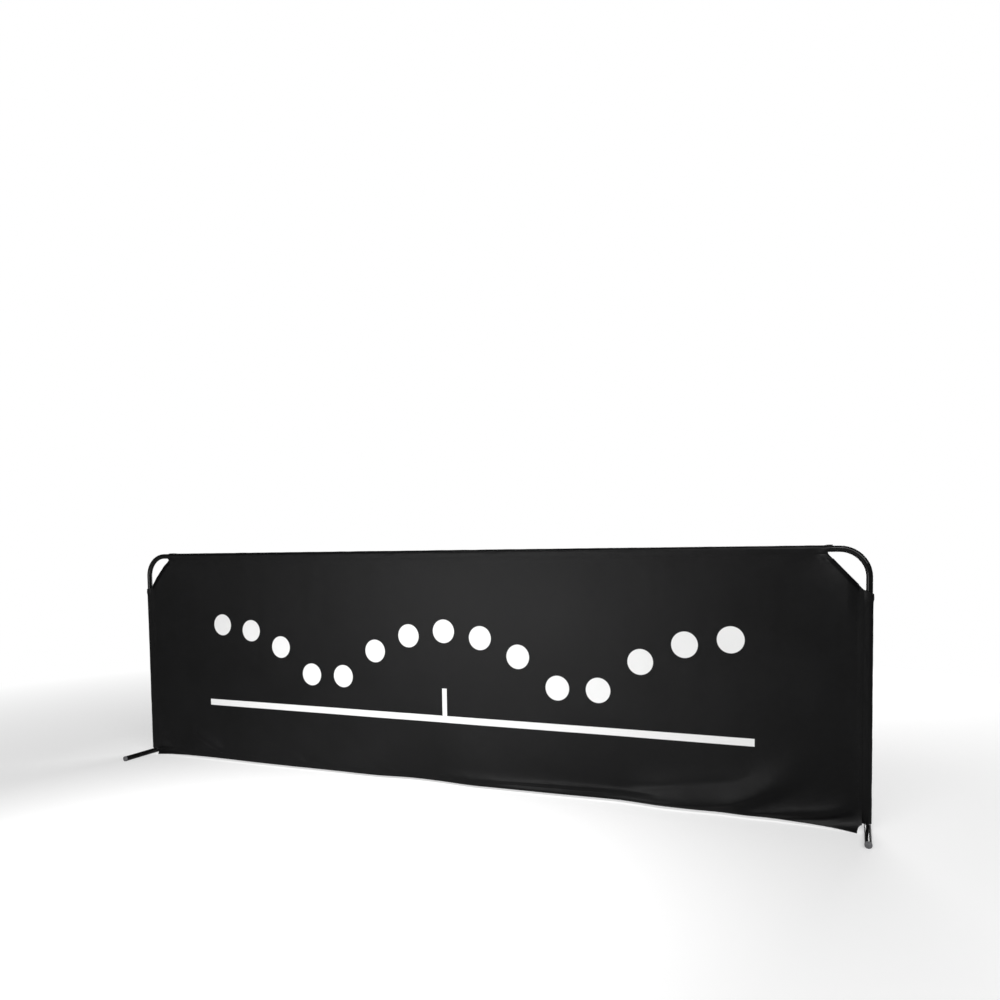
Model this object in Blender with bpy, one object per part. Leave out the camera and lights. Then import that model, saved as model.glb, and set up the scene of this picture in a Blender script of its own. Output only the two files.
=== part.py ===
"""Table tennis court barrier: a knock-down steel tube frame on two swivelling feet, in a sewn cloth cover.

Run it with: blender --background --python part.py
Metres, +Z up. The origin is on the floor at the middle of the barrier. +X runs to its right end,
and the court, which the cover's front faces, is on the -Y side.
"""

import math

import bmesh
import bpy
from mathutils import Vector

# Driving dimensions
LENGTH = 2.330
HEIGHT = 0.700
TUBE_DIAMETER = 0.016
TUBE_WALL = 0.0012
BEND_RADIUS = 0.069
FOOT_LENGTH = 0.270

# Clearances
SEAT_GAP = 0.0003
CUT_OVERRUN = 0.002

# Joints between the legs and the top rail
RAIL_JOINT_INSET = 0.165
JOINER_LENGTH = 0.120
JOINER_WALL = 0.0012
JOINER_PIN_INSET = 0.030
PIN_DIAMETER = 0.003

# Foot end plugs
PLUG_LIP = 0.00075
PLUG_HEAD_LENGTH = 0.005
PLUG_EDGE_RADIUS = 0.0015
PLUG_FLAT_DEPTH = 0.00045
PLUG_NECK_LENGTH = 0.016
PLUG_RIB_HEIGHT = 0.0005
PLUG_RIB_COUNT = 3

# Swivel between each leg and its foot
BUSH_WALL = 0.0012
BUSH_FLANGE = 0.0015
BUSH_LENGTH = 0.040
SPIGOT_ABOVE_BUSH = 0.020
SPIGOT_CHAMFER = 0.001
COLLAR_LIP = 0.0015
COLLAR_HEIGHT = 0.0015
SHANK_STEP = 0.001
SLOT_DEPTH = 0.002
PIN_TIP_GAP = 0.0004
SWIVEL_ANGLE = math.radians(90)

# Cloth cover
CLOTH = 0.0006
SEAM_GATHER = 0.0047
SEAM_WIDTH = 0.010
SLEEVE_HEM_LENGTH = 0.012
SLEEVE_HEM_THICKNESS = 0.0009
SLEEVE_FLOOR_CLEARANCE = 0.0012
CORNER_CUT_WIDTH = 0.0776
CORNER_CUT_HEIGHT = 0.0882
BINDING_WIDTH = 0.014

# Bottom hem, and the free lower corners, which curl forward onto the floor below a slanting crease
HEM_FLOOR_GAP = 0.0072
HEM_HEIGHT = 0.0215
HEM_LAYERS = 3
FREE_LENGTH = 0.240
FREE_HEIGHT = 0.045
FREE_DROP = 0.0057
FREE_LEAST_HEIGHT = 0.010
FREE_BLEND_START = 0.020
FREE_BLEND_LENGTH = 0.080
FREE_LEAN_SHARE = 0.30
FREE_CURL_POWER = 3.5
LEFT_NOTCH = 0.021
RIGHT_NOTCH = 0.011
NOTCH_POWER = 4

# How the hem sways. Each row has a place as a share of the panel's half length, how far the hem
# stands out towards the court there as a share of HEM_SWAY, and how far up that reaches as a share
# of the panel's height.
HEM_SWAY = 0.040
HEM_SWAY_POWER = 1.5
HEM_SWAY_SHARES = (
    (-1.00, 0.43, 0.068),
    (-0.94, 0.14, 0.070),
    (-0.84, 0.07, 0.12),
    (-0.72, 0.06, 0.15),
    (-0.61, 0.13, 0.16),
    (-0.40, 0.07, 0.18),
    (-0.21, 0.04, 0.22),
    (-0.11, -0.26, 0.34),
    (-0.02, -0.20, 0.36),
    (0.07, 0.02, 0.36),
    (0.15, -0.04, 0.36),
    (0.31, -0.15, 0.38),
    (0.46, -0.30, 0.36),
    (0.61, -0.14, 0.26),
    (0.75, -0.10, 0.12),
    (0.87, 0.11, 0.085),
    (0.94, 0.34, 0.075),
    (1.00, 0.79, 0.068),
)

# Folds that run out from the hem, each with a soft upper side and a sharp lower side. Each row has
# how far the fold stands out as a share of FOLD_DEPTH, the reach of its upper and lower sides, and
# its line as (place, height) points, all as shares of the panel's half length and height.
FOLD_DEPTH = 0.009
FOLD_LINE_SHARES = (
    (1.00, 0.085, 0.036, (0.48, 0.036), (0.62, 0.043), (0.69, 0.064),
     (0.742, 0.093), (0.795, 0.157), (0.845, 0.290)),
    (0.75, 0.045, 0.022, (0.74, 0.020), (0.79, 0.033), (0.84, 0.046), (0.93, 0.066), (1.02, 0.088)),
    (0.30, 0.040, 0.020, (-0.86, 0.140), (-0.81, 0.103), (-0.78, 0.077), (-0.73, 0.050)),
    (0.30, 0.030, 0.018, (-1.02, 0.050), (-0.95, 0.036), (-0.88, 0.020)),
    (0.25, 0.025, 0.016, (-0.06, 0.044), (0.15, 0.048), (0.30, 0.052), (0.50, 0.042)),
)
FOLD_END_SHARE = 0.25
SIDE_HOLD = 0.035

# Fineness of the meshes
ROUND_STEPS = 24
PIN_STEPS = 12
BEND_STEPS = 10
EDGE_STEPS = 3
SLOT_STEPS = 12
PANEL_COLUMN_COUNT = 46
PANEL_ROW_COUNT = 12
HEM_ROW_COUNT = 3
END_WEIGHT_SHARE = 0.86
BOTTOM_WEIGHT = 1.7
SMOOTH_ANGLE = math.radians(35)

# Places worked out from the sizes above
TUBE_RADIUS = TUBE_DIAMETER / 2
BORE_RADIUS = TUBE_RADIUS - TUBE_WALL
PIN_RADIUS = PIN_DIAMETER / 2
PIN_HOLE_RADIUS = PIN_RADIUS + SEAT_GAP
LEG_X = LENGTH / 2 - TUBE_RADIUS
RAIL_Z = HEIGHT - TUBE_RADIUS
RAIL_JOINT_X = LENGTH / 2 - RAIL_JOINT_INSET

PLUG_HEAD_RADIUS = TUBE_RADIUS + PLUG_LIP
FOOT_AXIS_Z = PLUG_HEAD_RADIUS - PLUG_FLAT_DEPTH
FOOT_TOP_Z = FOOT_AXIS_Z + TUBE_RADIUS
BAR_LENGTH = FOOT_LENGTH - 2 * (PLUG_HEAD_LENGTH + SEAT_GAP)

SPIGOT_RADIUS = BORE_RADIUS - BUSH_WALL - 2 * SEAT_GAP
SHANK_RADIUS = SPIGOT_RADIUS - SHANK_STEP
SHANK_TIP_RADIUS = SHANK_RADIUS - SHANK_STEP
SHANK_BOTTOM_Z = FOOT_AXIS_Z - math.sqrt(BORE_RADIUS**2 - SHANK_TIP_RADIUS**2) + SEAT_GAP
COLLAR_RADIUS = SPIGOT_RADIUS + COLLAR_LIP
COLLAR_TOP_Z = FOOT_TOP_Z + COLLAR_HEIGHT
BUSH_BOTTOM_Z = COLLAR_TOP_Z + SEAT_GAP
LEG_BOTTOM_Z = BUSH_BOTTOM_Z + BUSH_FLANGE + SEAT_GAP
BUSH_TOP_Z = LEG_BOTTOM_Z + BUSH_LENGTH
SPIGOT_TOP_Z = BUSH_TOP_Z + SPIGOT_ABOVE_BUSH
RETAINING_PIN_Z = BUSH_TOP_Z + SPIGOT_ABOVE_BUSH / 2
SLOT_FLOOR_RADIUS = SPIGOT_RADIUS - SLOT_DEPTH
PIN_TIP_RADIUS = SLOT_FLOOR_RADIUS + PIN_TIP_GAP

SLEEVE_RADIUS = TUBE_RADIUS + SEAT_GAP
SEAM_START = SLEEVE_RADIUS + SEAM_GATHER
SEAM_END = SEAM_START + SEAM_WIDTH
SLEEVE_FRONT = SLEEVE_RADIUS + CLOTH
COVER_BACK_Y = -(SLEEVE_FRONT + SEAT_GAP)
PANEL_EDGE_X = LEG_X - SEAM_START
PANEL_TOP_Z = RAIL_Z - SEAM_START
CORNER_X = PANEL_EDGE_X - CORNER_CUT_WIDTH
CORNER_Z = PANEL_TOP_Z - CORNER_CUT_HEIGHT
SLEEVE_BOTTOM_Z = FOOT_TOP_Z + SLEEVE_FLOOR_CLEARANCE
HEM_TOP_Z = HEM_FLOOR_GAP + HEM_HEIGHT
FREE_INNER_X = PANEL_EDGE_X - FREE_LENGTH

LEFT, RIGHT = -1, 1
SIDES = (("left", LEFT), ("right", RIGHT))
NOTCHES = {LEFT: LEFT_NOTCH, RIGHT: RIGHT_NOTCH}

STEEL_BLACK = ((0.012, 0.012, 0.013), 0.32, 0.55)
STEEL_BARE = ((0.42, 0.42, 0.43), 0.38, 1.0)
PLASTIC_GREY = ((0.13, 0.13, 0.135), 0.55, 0.0)
PLASTIC_PALE = ((0.62, 0.62, 0.60), 0.50, 0.0)
CLOTH_BLACK = ((0.018, 0.018, 0.020), 0.85, 0.0)


def clear_scene():
    for obj in list(bpy.data.objects):
        bpy.data.objects.remove(obj, do_unlink=True)


def make_material(name, finish):
    """A plain material with the piece's colour, roughness and metallic value."""
    colour, roughness, metallic = finish
    material = bpy.data.materials.new(name)
    material.use_nodes = True
    shader = material.node_tree.nodes["Principled BSDF"]
    shader.inputs["Base Color"].default_value = (*colour, 1)
    shader.inputs["Roughness"].default_value = roughness
    shader.inputs["Metallic"].default_value = metallic
    return material


def add_empty(name, location=(0, 0, 0)):
    empty = bpy.data.objects.new(name, None)
    empty.location = location
    bpy.context.scene.collection.objects.link(empty)
    return empty


def add_object(name, bm, parent, location=(0, 0, 0), rotation=(0, 0, 0)):
    mesh = bpy.data.meshes.new(name)
    bm.to_mesh(mesh)
    bm.free()
    obj = bpy.data.objects.new(name, mesh)
    obj.location = location
    obj.rotation_euler = rotation
    obj.parent = parent
    bpy.context.scene.collection.objects.link(obj)
    return obj


def add_piece(name, bm, finish, parent, **place):
    """A visible sub-part, shaded smooth except at its real edges."""
    obj = add_object(name, bm, parent, **place)
    obj.data.materials.append(make_material(name, finish))
    obj.data.shade_smooth()
    obj.data.set_sharp_from_angle(angle=SMOOTH_ANGLE)
    return obj


def add_cutter(name, bm, parent, **place):
    obj = add_object(name, bm, parent, **place)
    obj.hide_render = True
    obj.display_type = "WIRE"
    return obj


def cut(obj, *cutters):
    for cutter in cutters:
        modifier = obj.modifiers.new(cutter.name, "BOOLEAN")
        modifier.operation = "DIFFERENCE"
        modifier.solver = "EXACT"
        modifier.object = cutter


def skin(bm, first, second):
    """Quads between two closed rings of vertices."""
    for i in range(len(first)):
        bm.faces.new((first[i - 1], first[i], second[i], second[i - 1]))


def arc(radius, start, end, steps):
    """Points (a, b) on a circle about the origin, from one angle to another."""
    angles = [start + (end - start) * k / steps for k in range(steps + 1)]
    return [(radius * math.cos(t), radius * math.sin(t)) for t in angles]


def tube_mesh(path, outer_radius, inner_radius):
    """A hollow tube along a path in the XZ plane, given as (centre, direction across the tube)."""
    bm = bmesh.new()
    depth = Vector((0, 1, 0))
    walls = []
    for radius in (outer_radius, inner_radius):
        rings = []
        for centre, across in path:
            circle = arc(radius, 0, 2 * math.pi, ROUND_STEPS)[:-1]
            rings.append([bm.verts.new(centre + across * a + depth * b) for a, b in circle])
        for first, second in zip(rings, rings[1:]):
            skin(bm, first, second)
        walls.append(rings)
    outer, inner = walls
    skin(bm, outer[0], inner[0])
    skin(bm, outer[-1], inner[-1])
    bmesh.ops.recalc_face_normals(bm, faces=bm.faces)
    return bm


def straight_path(start_x, end_x, z=0):
    across = Vector((0, 0, 1))
    return [(Vector((x, 0, z)), across) for x in (start_x, end_x)]


def leg_path(side):
    """Up from the foot, round the corner and inwards to the joint with the rail."""
    bend_centre = Vector((LEG_X - BEND_RADIUS, 0, RAIL_Z - BEND_RADIUS))
    path = [(Vector((LEG_X, 0, LEG_BOTTOM_Z)), Vector((1, 0, 0)))]
    for k in range(BEND_STEPS + 1):
        turn = math.pi / 2 * k / BEND_STEPS
        across = Vector((math.cos(turn), 0, math.sin(turn)))
        path.append((bend_centre + across * BEND_RADIUS, across))
    path.append((Vector((RAIL_JOINT_X + SEAT_GAP / 2, 0, RAIL_Z)), Vector((0, 0, 1))))
    mirror = Vector((side, 1, 1))
    return [(centre * mirror, across * mirror) for centre, across in path]


def turned_mesh(profile, ring=False, steps=ROUND_STEPS):
    """A solid of revolution about Z from (radius, height) points, from axis to axis or as a closed ring."""
    bm = bmesh.new()
    points = [bm.verts.new((radius, 0, height)) for radius, height in profile]
    edges = [bm.edges.new(pair) for pair in zip(points, points[1:])]
    if ring:
        edges.append(bm.edges.new((points[-1], points[0])))
    bmesh.ops.spin(
        bm,
        geom=points + edges,
        axis=(0, 0, 1),
        cent=(0, 0, 0),
        angle=2 * math.pi,
        steps=steps,
        use_merge=True,
    )
    bmesh.ops.remove_doubles(bm, verts=bm.verts, dist=CUT_OVERRUN / 1000)
    bmesh.ops.recalc_face_normals(bm, faces=bm.faces)
    return bm


def rod_mesh(radius, bottom, top, steps=ROUND_STEPS):
    return turned_mesh(((0, bottom), (radius, bottom), (radius, top), (0, top)), steps=steps)


def extruded_mesh(outline, start, end):
    """A prism over an outline of (x, y) points, from one height to another."""
    bm = bmesh.new()
    rings = [[bm.verts.new((x, y, z)) for x, y in outline] for z in (start, end)]
    skin(bm, *rings)
    for ring in rings:
        bm.faces.new(ring)
    bmesh.ops.recalc_face_normals(bm, faces=bm.faces)
    return bm


# Frame


def make_leg(name, side, frame):
    """Leg, corner bend and rail stub in one tube, drilled for its two pins."""
    mesh = tube_mesh(leg_path(side), TUBE_RADIUS, BORE_RADIUS)
    leg = add_piece(f"{name}_leg_tube", mesh, STEEL_BLACK, frame)
    joiner_hole = add_cutter(
        f"{name}_joiner_pin_hole",
        rod_mesh(PIN_HOLE_RADIUS, -TUBE_RADIUS - CUT_OVERRUN, TUBE_RADIUS + CUT_OVERRUN, PIN_STEPS),
        frame,
        location=(side * (RAIL_JOINT_X + JOINER_PIN_INSET), 0, RAIL_Z),
    )
    retaining_hole = add_cutter(
        f"{name}_retaining_pin_hole",
        rod_mesh(PIN_HOLE_RADIUS, -TUBE_RADIUS - CUT_OVERRUN, 0, PIN_STEPS),
        frame,
        location=(side * LEG_X, 0, RETAINING_PIN_Z),
        rotation=(math.pi / 2, 0, 0),
    )
    cut(leg, joiner_hole, retaining_hole)
    return joiner_hole


def make_rail_joint(name, side, frame, joiner_hole):
    """The inner tube that plugs into stub and rail, and the pin that holds it in the stub."""
    path = straight_path(-JOINER_LENGTH / 2, JOINER_LENGTH / 2)
    radius = BORE_RADIUS - SEAT_GAP
    joiner = add_piece(
        f"{name}_rail_joiner",
        tube_mesh(path, radius, radius - JOINER_WALL),
        STEEL_BARE,
        frame,
        location=(side * RAIL_JOINT_X, 0, RAIL_Z),
    )
    cut(joiner, joiner_hole)
    reach = TUBE_RADIUS - SEAT_GAP
    add_piece(
        f"{name}_joiner_pin",
        rod_mesh(PIN_RADIUS, -reach, reach, PIN_STEPS),
        STEEL_BARE,
        frame,
        location=joiner_hole.location,
    )


def make_top_rail(frame):
    end = RAIL_JOINT_X - SEAT_GAP / 2
    path = straight_path(-end, end, RAIL_Z)
    add_piece("top_rail_tube", tube_mesh(path, TUBE_RADIUS, BORE_RADIUS), STEEL_BLACK, frame)


# Swivel


def slot_outline(side):
    """A quarter-turn slot seen from above, which opens outwards past the spigot."""
    half_pin = math.asin(PIN_HOLE_RADIUS / PIN_TIP_RADIUS)
    back = math.pi / 2
    start, end = back - SWIVEL_ANGLE - half_pin, back + half_pin
    outer = arc(SPIGOT_RADIUS + CUT_OVERRUN, start, end, SLOT_STEPS)
    inner = arc(SLOT_FLOOR_RADIUS, end, start, SLOT_STEPS)
    return [(side * a, b) for a, b in outer + inner]


def make_spigot(name, side, pivot):
    """The post on the foot bar: shank in the bar, saddle collar on it, round spigot in the leg's bush."""
    profile = (
        (0, SHANK_BOTTOM_Z),
        (SHANK_TIP_RADIUS, SHANK_BOTTOM_Z),
        (SHANK_TIP_RADIUS, FOOT_AXIS_Z),
        (COLLAR_RADIUS, FOOT_AXIS_Z),
        (COLLAR_RADIUS, COLLAR_TOP_Z),
        (SPIGOT_RADIUS, COLLAR_TOP_Z),
        (SPIGOT_RADIUS, SPIGOT_TOP_Z - SPIGOT_CHAMFER),
        (SPIGOT_RADIUS - SPIGOT_CHAMFER, SPIGOT_TOP_Z),
        (0, SPIGOT_TOP_Z),
    )
    spigot = add_piece(f"{name}_foot_spigot", turned_mesh(profile), STEEL_BARE, pivot)
    reach = COLLAR_RADIUS + CUT_OVERRUN
    saddle = add_cutter(
        f"{name}_saddle_cut",
        rod_mesh(TUBE_RADIUS + SEAT_GAP, -reach, reach),
        pivot,
        location=(0, 0, FOOT_AXIS_Z),
        rotation=(math.pi / 2, 0, 0),
    )
    shank = add_cutter(
        f"{name}_shank_space",
        rod_mesh(SHANK_RADIUS, -CUT_OVERRUN, FOOT_TOP_Z + CUT_OVERRUN),
        pivot,
    )
    cut(saddle, shank)
    half_height = PIN_RADIUS + SEAT_GAP
    slot = add_cutter(
        f"{name}_swivel_slot",
        extruded_mesh(slot_outline(side), RETAINING_PIN_Z - half_height, RETAINING_PIN_Z + half_height),
        pivot,
    )
    cut(spigot, saddle, slot)


def make_bush(name, side, frame):
    """Flanged bush, a closed ring turned about the leg's axis."""
    inner = SPIGOT_RADIUS + SEAT_GAP
    outer = BORE_RADIUS - SEAT_GAP
    flange_top = BUSH_BOTTOM_Z + BUSH_FLANGE
    profile = (
        (inner, BUSH_BOTTOM_Z),
        (TUBE_RADIUS, BUSH_BOTTOM_Z),
        (TUBE_RADIUS, flange_top),
        (outer, flange_top),
        (outer, BUSH_TOP_Z),
        (inner, BUSH_TOP_Z),
    )
    mesh = turned_mesh(profile, ring=True)
    add_piece(f"{name}_leg_bush", mesh, PLASTIC_PALE, frame, location=(side * LEG_X, 0, 0))


def make_retaining_pin(name, side, frame):
    """Set in the back of the leg's wall, with its tip in the spigot's slot."""
    add_piece(
        f"{name}_retaining_pin",
        rod_mesh(PIN_RADIUS, -(TUBE_RADIUS - SEAT_GAP), -PIN_TIP_RADIUS, PIN_STEPS),
        STEEL_BARE,
        frame,
        location=(side * LEG_X, 0, RETAINING_PIN_Z),
        rotation=(math.pi / 2, 0, 0),
    )


# Feet


def plug_profile():
    """Ribbed neck inside the tube, then the head with its rounded rim. Height 0 is the tube's end."""
    rib_radius = BORE_RADIUS - SEAT_GAP
    core_radius = rib_radius - PLUG_RIB_HEIGHT
    pitch = PLUG_NECK_LENGTH / (PLUG_RIB_COUNT + 1)
    profile = [(0, -PLUG_NECK_LENGTH), (core_radius, -PLUG_NECK_LENGTH)]
    for k in range(PLUG_RIB_COUNT):
        start = k * pitch + pitch / 2 - PLUG_NECK_LENGTH
        profile += [(core_radius, start), (rib_radius, start + pitch / 2), (core_radius, start + pitch / 2)]
    head_top = SEAT_GAP + PLUG_HEAD_LENGTH
    profile += [(core_radius, SEAT_GAP), (PLUG_HEAD_RADIUS, SEAT_GAP)]
    for a, b in arc(PLUG_EDGE_RADIUS, 0, math.pi / 2, EDGE_STEPS):
        profile.append((PLUG_HEAD_RADIUS - PLUG_EDGE_RADIUS + a, head_top - PLUG_EDGE_RADIUS + b))
    profile.append((0, head_top))
    return profile


def make_foot(name, side, pivot, floor_cut):
    """A cross tube on the floor with a plug in each end, turning about the leg's axis."""
    bar = add_piece(
        f"{name}_foot_bar",
        tube_mesh(straight_path(-BAR_LENGTH / 2, BAR_LENGTH / 2), TUBE_RADIUS, BORE_RADIUS),
        STEEL_BLACK,
        pivot,
        location=(0, 0, FOOT_AXIS_Z),
        rotation=(0, 0, math.pi / 2),
    )
    shank_hole = add_cutter(
        f"{name}_shank_hole",
        rod_mesh(SHANK_RADIUS + SEAT_GAP, FOOT_AXIS_Z, FOOT_TOP_Z + CUT_OVERRUN),
        pivot,
    )
    cut(bar, shank_hole)
    for end, facing in (("front", -1), ("back", 1)):
        plug = add_piece(
            f"{name}_{end}_foot_plug",
            turned_mesh(plug_profile()),
            PLASTIC_GREY,
            pivot,
            location=(0, facing * BAR_LENGTH / 2, FOOT_AXIS_Z),
            rotation=(-facing * math.pi / 2, 0, 0),
        )
        cut(plug, floor_cut)
    make_spigot(name, side, pivot)


def make_floor_cut(frame):
    """Everything below the floor, which flattens the undersides of the plugs."""
    x, y = LENGTH, FOOT_LENGTH
    return add_cutter(
        "floor_cut", extruded_mesh(((-x, -y), (x, -y), (x, y), (-x, y)), -CUT_OVERRUN, 0), frame
    )


# Cover


def leaving_turn(radius, a, b, way):
    """The turn at which a straight line from a point leaves a circle, on one side of it or the other."""
    return math.atan2(b, a) + way * math.acos(radius / math.hypot(a, b))


def sleeve_outlines(extra):
    """Outer and inner outline of a sleeve: straight down its front, and drawn to the seam from behind.

    The first coordinate runs from the tube's centre to the seam, the second to the front.
    """
    seam_back = SLEEVE_FRONT - 2 * CLOTH
    radius = SLEEVE_FRONT + extra
    front = leaving_turn(radius, SEAM_START, SLEEVE_FRONT, 1)
    back = leaving_turn(radius, SEAM_START + CLOTH, seam_back, -1)
    outer = [(SEAM_END, seam_back), (SEAM_END, SLEEVE_FRONT), (SEAM_START, SLEEVE_FRONT)]
    outer += arc(radius, front, back + 2 * math.pi, ROUND_STEPS)
    outer.append((SEAM_START + CLOTH, seam_back))
    front = leaving_turn(SLEEVE_RADIUS, SEAM_START, SLEEVE_RADIUS, 1)
    back = leaving_turn(SLEEVE_RADIUS, SEAM_START, SLEEVE_RADIUS, -1)
    inner = [(SEAM_START, SLEEVE_RADIUS)]
    inner += arc(SLEEVE_RADIUS, front, back + 2 * math.pi, ROUND_STEPS)
    return outer, inner


def sleeve_mesh(start, end, centre, inwards, along):
    """A sleeve from one place to another along a tube, with a thicker folded hem at each end."""
    hem_step = CLOTH
    stations = (
        (start, SLEEVE_HEM_THICKNESS),
        (start + SLEEVE_HEM_LENGTH, SLEEVE_HEM_THICKNESS),
        (start + SLEEVE_HEM_LENGTH + hem_step, 0),
        (end - SLEEVE_HEM_LENGTH - hem_step, 0),
        (end - SLEEVE_HEM_LENGTH, SLEEVE_HEM_THICKNESS),
        (end, SLEEVE_HEM_THICKNESS),
    )
    bm = bmesh.new()
    front = Vector((0, -1, 0))
    outers, inners = [], []
    for place, extra in stations:
        for outline, rings in zip(sleeve_outlines(extra), (outers, inners)):
            base = centre + along * place
            rings.append([bm.verts.new(base + inwards * a + front * b) for a, b in outline])
    for rings in (outers, inners):
        for first, second in zip(rings, rings[1:]):
            skin(bm, first, second)
    for outer, inner in ((outers[0], inners[0]), (outers[-1], inners[-1])):
        seam = inner[0]
        bm.faces.new((outer[0], outer[1], outer[2], seam, outer[-1]))
        bm.faces.new((outer[2], outer[3], inner[1], seam))
        bm.faces.new((outer[-1], seam, inner[-1], outer[-2]))
        for k in range(1, len(inner) - 1):
            bm.faces.new((outer[k + 2], outer[k + 3], inner[k + 1], inner[k]))
    bmesh.ops.recalc_face_normals(bm, faces=bm.faces)
    return bm


def make_sleeves(frame):
    up, right = Vector((0, 0, 1)), Vector((1, 0, 0))
    for name, side in SIDES:
        mesh = sleeve_mesh(SLEEVE_BOTTOM_Z, CORNER_Z, right * (side * LEG_X), right * -side, up)
        add_piece(f"{name}_sleeve", mesh, CLOTH_BLACK, frame)
    mesh = sleeve_mesh(-CORNER_X, CORNER_X, up * RAIL_Z, -up, right)
    add_piece("top_sleeve", mesh, CLOTH_BLACK, frame)


def smooth(share):
    """Eases a share from 0 to 1, and holds it there outside them."""
    share = min(1, max(0, share))
    return share * share * (3 - 2 * share)


def along_table(table, place):
    """The other values of a table's rows, read smoothly at a place between the rows' places."""
    place = min(table[-1][0], max(table[0][0], place))
    k = next(k for k in range(len(table) - 1) if place <= table[k + 1][0])
    rows = [table[max(0, min(len(table) - 1, k + step))] for step in (-1, 0, 1, 2)]
    width = rows[2][0] - rows[1][0]
    share = (place - rows[1][0]) / width
    values = []
    for before, start, end, after in list(zip(*rows))[1:]:
        leaving = (end - before) / (rows[2][0] - rows[0][0]) * width
        arriving = (after - start) / (rows[3][0] - rows[1][0]) * width
        turn = leaving + arriving - 2 * (end - start)
        bend = 3 * (end - start) - 2 * leaving - arriving
        values.append(start + share * (leaving + share * (bend + share * turn)))
    return values


def fold_out(x, z):
    """How far the long folds push the cover out towards the court at a place."""
    total = 0
    for depth, above, below, *line in FOLD_LINE_SHARES:
        place = x / PANEL_EDGE_X
        if not line[0][0] < place < line[-1][0]:
            continue
        away = z / PANEL_TOP_Z - along_table(line, place)[0]
        ends = min(place - line[0][0], line[-1][0] - place) / (line[-1][0] - line[0][0]) / FOLD_END_SHARE
        total += FOLD_DEPTH * depth * smooth(ends) * math.exp(-((away / (above if away > 0 else below)) ** 2))
    return total


def free_share(x):
    """0 up to where a free corner starts, and 1 at the cover's end."""
    return max(0, (abs(x) - FREE_INNER_X) / FREE_LENGTH)


def hem_bottom_z(x):
    """The hem's lower edge, which drops to the floor at the free corners."""
    return HEM_FLOOR_GAP - FREE_DROP * free_share(x) ** 2


def cover_back_y(x, z):
    """Where the back of the cover lies: flat at the sleeves, hanging freely and folded low down."""
    sway, rise = along_table(HEM_SWAY_SHARES, x / PANEL_EDGE_X)
    bottom = hem_bottom_z(x)
    hanging = max(0, 1 - (z - bottom) / (rise * PANEL_TOP_Z)) ** HEM_SWAY_POWER
    crease_z = HEM_FLOOR_GAP + FREE_HEIGHT * free_share(x)
    below_crease = max(0, 1 - (z - bottom) / max(FREE_LEAST_HEIGHT, crease_z - bottom))
    curled = FREE_LEAN_SHARE * below_crease + (1 - FREE_LEAN_SHARE) * below_crease**FREE_CURL_POWER
    free = smooth((abs(x) - FREE_INNER_X - FREE_BLEND_START) / FREE_BLEND_LENGTH)
    swung = HEM_SWAY * sway * (hanging + (curled - hanging) * free)
    held = smooth((PANEL_EDGE_X - abs(x)) / SIDE_HOLD)
    return COVER_BACK_Y - swung - fold_out(x, z) * held


def cloth_mesh(columns, rows, place):
    """A sheet whose faces look backwards. place(column share, row share) gives x and z."""
    bm = bmesh.new()
    grid = []
    for i in range(columns + 1):
        spots = [place(i / columns, k / rows) for k in range(rows + 1)]
        grid.append([bm.verts.new((x, cover_back_y(x, z), z)) for x, z in spots])
    for left, right in zip(grid, grid[1:]):
        for k in range(rows):
            bm.faces.new((left[k], left[k + 1], right[k + 1], right[k]))
    return bm


def thicken(obj, thickness):
    """Grows a sheet forwards from its back."""
    modifier = obj.modifiers.new("cloth", "SOLIDIFY")
    modifier.thickness = thickness
    modifier.offset = -1


def cut_corner(bm, side):
    """Takes an upper corner off the panel along a slanting line."""
    bmesh.ops.bisect_plane(
        bm,
        geom=bm.verts[:] + bm.edges[:] + bm.faces[:],
        dist=CUT_OVERRUN / 1000,
        plane_co=(side * CORNER_X, 0, PANEL_TOP_Z),
        plane_no=(side * CORNER_CUT_HEIGHT, 0, CORNER_CUT_WIDTH),
        clear_outer=True,
    )


def column_x(column):
    """Where a column of the cover stands: closer together towards the ends."""
    spread = math.pi / 2 * END_WEIGHT_SHARE
    return PANEL_EDGE_X * math.sin((2 * column - 1) * spread) / math.sin(spread)


def make_panel(frame):
    """The stretched sheet between the seams, with closer rows at its foot."""

    def place(column, row):
        bottom = HEM_TOP_Z + SEAT_GAP
        return column_x(column), bottom + (PANEL_TOP_Z - bottom) * row**BOTTOM_WEIGHT

    bm = cloth_mesh(PANEL_COLUMN_COUNT, PANEL_ROW_COUNT, place)
    for _, side in SIDES:
        cut_corner(bm, side)
    thicken(add_piece("cover_panel", bm, CLOTH_BLACK, frame), CLOTH)


def make_hem(frame):
    """The folded hem, notched at both ends to clear the feet."""

    def place(column, row):
        x = column_x(column)
        side = RIGHT if x > 0 else LEFT
        bottom = hem_bottom_z(x)
        drawn_in = NOTCHES[side] * free_share(x) ** NOTCH_POWER * (1 - row)
        return x - side * drawn_in, bottom + (HEM_TOP_Z - bottom) * row

    bm = cloth_mesh(PANEL_COLUMN_COUNT, HEM_ROW_COUNT, place)
    thicken(add_piece("bottom_hem", bm, CLOTH_BLACK, frame), HEM_LAYERS * CLOTH)


def binding_outline():
    """The folded tape across its length: distance in from the panel's edge, and y."""
    back, front = COVER_BACK_Y, COVER_BACK_Y - CLOTH
    fold_in, fold_out = -SEAT_GAP, -SEAT_GAP - CLOTH
    return (
        (BINDING_WIDTH, back + SEAT_GAP),
        (fold_in, back + SEAT_GAP),
        (fold_in, front - SEAT_GAP),
        (BINDING_WIDTH, front - SEAT_GAP),
        (BINDING_WIDTH, front - SEAT_GAP - CLOTH),
        (fold_out, front - SEAT_GAP - CLOTH),
        (fold_out, back + SEAT_GAP + CLOTH),
        (BINDING_WIDTH, back + SEAT_GAP + CLOTH),
    )


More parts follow.
